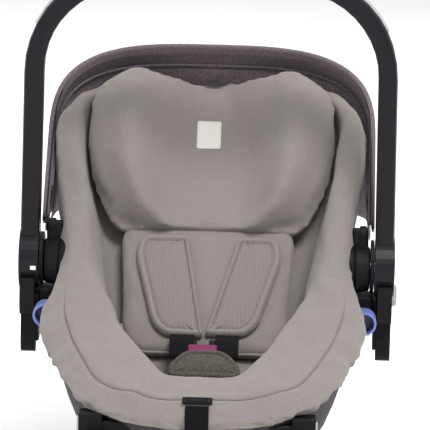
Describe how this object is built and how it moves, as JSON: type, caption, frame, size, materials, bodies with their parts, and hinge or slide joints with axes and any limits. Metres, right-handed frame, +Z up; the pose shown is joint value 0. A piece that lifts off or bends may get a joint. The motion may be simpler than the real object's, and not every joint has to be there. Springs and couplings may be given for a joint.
{
  "type": "infant car seat",
  "caption": "Rear-facing infant carrier with a bucket shell, swinging carry handle, folding canopy, sliding headrest, harness and rocker base.",
  "frame": {"origin": "middle of the footprint, on the surface the seat stands on", "axes": "+X to the seat's side that is on the right when seen from its foot end, +Y from the foot end to the head end, +Z up"},
  "size_m": [0.4432, 0.5799, 0.5968],
  "materials": {
    "taupe_jersey": "brushed jersey",
    "taupe_mesh": "knitted mesh",
    "mauve_melange": "melange weave",
    "olive_pad": "brushed",
    "black_webbing": "woven webbing",
    "woven_label": "plain woven",
    "shell_plastic": "fine grain",
    "foam": "beaded foam",
    "black_plastic": "fine grain",
    "satin_black": "satin",
    "grey_trim": "satin",
    "belt_blue": "semi-gloss",
    "button_magenta": "semi-gloss",
    "bow_steel": "plain",
    "foot_rubber": "matt"
  },
  "bodies": {
    "seat": {"adapter_post_left": "black_plastic", "adapter_post_right": "black_plastic", "adjuster_bezel": "black_plastic", "adjuster_pull": "black_webbing", "adjuster_strap": "black_webbing", "buckle_housing": "black_plastic", "canopy_clip_left": "black_plastic", "canopy_clip_right": "black_plastic", "canopy_panel_rear": "mauve_melange", "crotch_pad": "olive_pad", "crotch_strap": "black_webbing", "foam_liner": "foam", "foot_front_left": "foot_rubber", "foot_front_right": "foot_rubber", "foot_rear_left": "foot_rubber", "foot_rear_right": "foot_rubber", "front_cross_bar": "black_plastic", "handle_pivot_pin_left": "bow_steel", "handle_pivot_pin_right": "bow_steel", "hub_housing_left": "black_plastic", "hub_housing_right": "black_plastic", "hub_ring_left": "black_plastic", "hub_ring_right": "black_plastic", "insert_cushion": "taupe_jersey", "lap_belt_guide_left": "belt_blue", "lap_belt_guide_right": "belt_blue", "post_arm_left": "black_plastic", "post_arm_right": "black_plastic", "post_plate_left": "black_plastic", "post_plate_right": "black_plastic", "rear_cross_bar": "black_plastic", "rocker_rail_left": "black_plastic", "rocker_rail_right": "black_plastic", "seat_cover": "taupe_jersey", "seat_shell": "shell_plastic", "shoulder_belt_guide_rear": "belt_blue", "shoulder_pad_left": "taupe_mesh", "shoulder_pad_right": "taupe_mesh", "shoulder_strap_left": "black_webbing", "shoulder_strap_right": "black_webbing", "strap_upper_left": "black_webbing", "strap_upper_right": "black_webbing"},
    "handle": {"carry_handle": "satin_black", "handle_grip": "grey_trim"},
    "handle_button_l": {"handle_button_left": "black_plastic"},
    "handle_button_r": {"handle_button_right": "black_plastic"},
    "release_knob": {"release_knob": "grey_trim"},
    "canopy_middle": {"canopy_bow_middle": "bow_steel", "canopy_panel_middle": "mauve_melange"},
    "canopy_front": {"canopy_bow_front": "bow_steel", "canopy_panel_front": "mauve_melange"},
    "headrest": {"headrest_cushion": "taupe_jersey", "headrest_core": "black_plastic", "headrest_label": "woven_label"},
    "headrest_lever": {"headrest_lever": "black_plastic"},
    "buckle_button": {"buckle_button": "button_magenta"},
    "tongue_l": {"buckle_tongue_left": "black_plastic"},
    "tongue_r": {"buckle_tongue_right": "black_plastic"},
    "adjuster_tab": {"adjuster_tab": "black_plastic"}
  },
  "joints": [
    {"name": "handle_swing", "type": "hinge", "parent": "seat", "child": "handle", "pos_m": [0, 0.0191, 0.25], "axis": [1, 0, 0], "range_deg": [-92, 86]},
    {"name": "handle_button_left_press", "type": "slide", "parent": "handle", "child": "handle_button_l", "axis": [1, 0, 0], "range_m": [0, 0.003], "stiffness_N_per_m": 400},
    {"name": "handle_button_right_press", "type": "slide", "parent": "handle", "child": "handle_button_r", "axis": [-1, 0, 0], "range_m": [0, 0.003], "stiffness_N_per_m": 400},
    {"name": "release_knob_press", "type": "slide", "parent": "seat", "child": "release_knob", "axis": [-1, 0, 0], "range_m": [0, 0.004], "stiffness_N_per_m": 400},
    {"name": "canopy_middle_fold", "type": "hinge", "parent": "seat", "child": "canopy_middle", "pos_m": [0, 0.0241, 0.288], "axis": [1, 0, 0], "range_deg": [-4, 32]},
    {"name": "canopy_front_fold", "type": "hinge", "parent": "canopy_middle", "child": "canopy_front", "pos_m": [0, 0.0241, 0.288], "axis": [1, 0, 0], "range_deg": [-4, 32]},
    {"name": "headrest_slide", "type": "slide", "parent": "seat", "child": "headrest", "axis": [0, 0.7193, 0.6947], "range_m": [0, 0.018]},
    {"name": "headrest_lever_squeeze", "type": "slide", "parent": "headrest", "child": "headrest_lever", "axis": [0, 0.7193, 0.6947], "range_m": [0, 0.004], "stiffness_N_per_m": 400},
    {"name": "buckle_button_press", "type": "slide", "parent": "seat", "child": "buckle_button", "axis": [0, 0.6947, -0.7193], "range_m": [0, 0.0035], "stiffness_N_per_m": 400},
    {"name": "tongue_left_pull", "type": "slide", "parent": "seat", "child": "tongue_l", "axis": [0, 0.7193, 0.6947], "range_m": [0, 0.025], "deforming": ["shoulder_strap_left"]},
    {"name": "tongue_right_pull", "type": "slide", "parent": "seat", "child": "tongue_r", "axis": [0, 0.7193, 0.6947], "range_m": [0, 0.025], "deforming": ["shoulder_strap_right"]},
    {"name": "adjuster_tab_press", "type": "slide", "parent": "seat", "child": "adjuster_tab", "axis": [0, 0.6018, -0.7986], "range_m": [0, 0.0025], "stiffness_N_per_m": 400}
  ],
  "couplings": [
    {"joint": "canopy_front_fold", "follows": "canopy_middle_fold", "ratio": 1}
  ]
}
